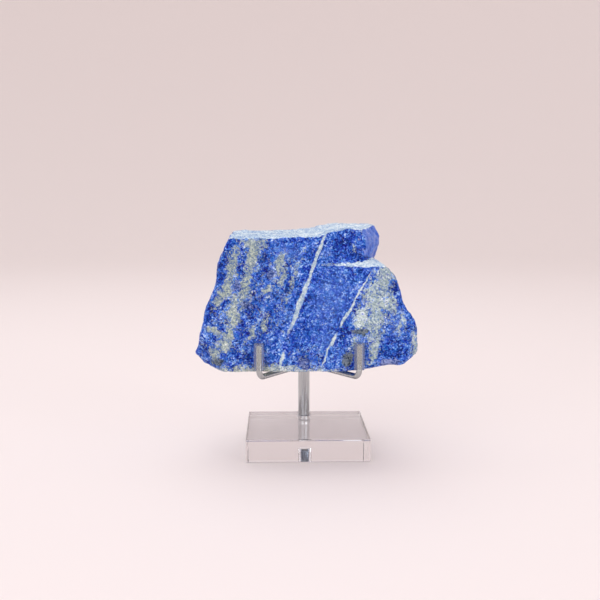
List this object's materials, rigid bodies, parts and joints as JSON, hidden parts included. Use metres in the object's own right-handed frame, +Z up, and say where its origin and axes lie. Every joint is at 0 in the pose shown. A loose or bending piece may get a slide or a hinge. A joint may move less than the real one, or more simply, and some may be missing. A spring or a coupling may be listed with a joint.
{
  "type": "rough lapis lazuli on a stand",
  "caption": "Rough broken piece of blue lapis lazuli with pale calcite veins, held by hooked wire arms and a steel post on a clear square block.",
  "frame": {"origin": "centre of the clear block's underside, on the surface that it stands on", "axes": "+Z up; +Y from the stone's broken front face to its back; +X to the viewer's right"},
  "size_m": [0.0656, 0.0521, 0.0719],
  "materials": {
    "lapis": "rough broken lapis lazuli with pale grey calcite veins and patches",
    "acrylic": "polished clear acrylic",
    "steel": "satin drawn steel",
    "vinyl": "clear soft vinyl tube"
  },
  "bodies": {
    "root": {"lapis_stone": "lapis", "base_block": "acrylic", "post": "steel", "collar": "steel", "arm_left": "steel", "arm_right": "steel", "sleeve_left": "vinyl", "sleeve_right": "vinyl", "sleeve_back": "vinyl"}
  },
  "joints": []
}
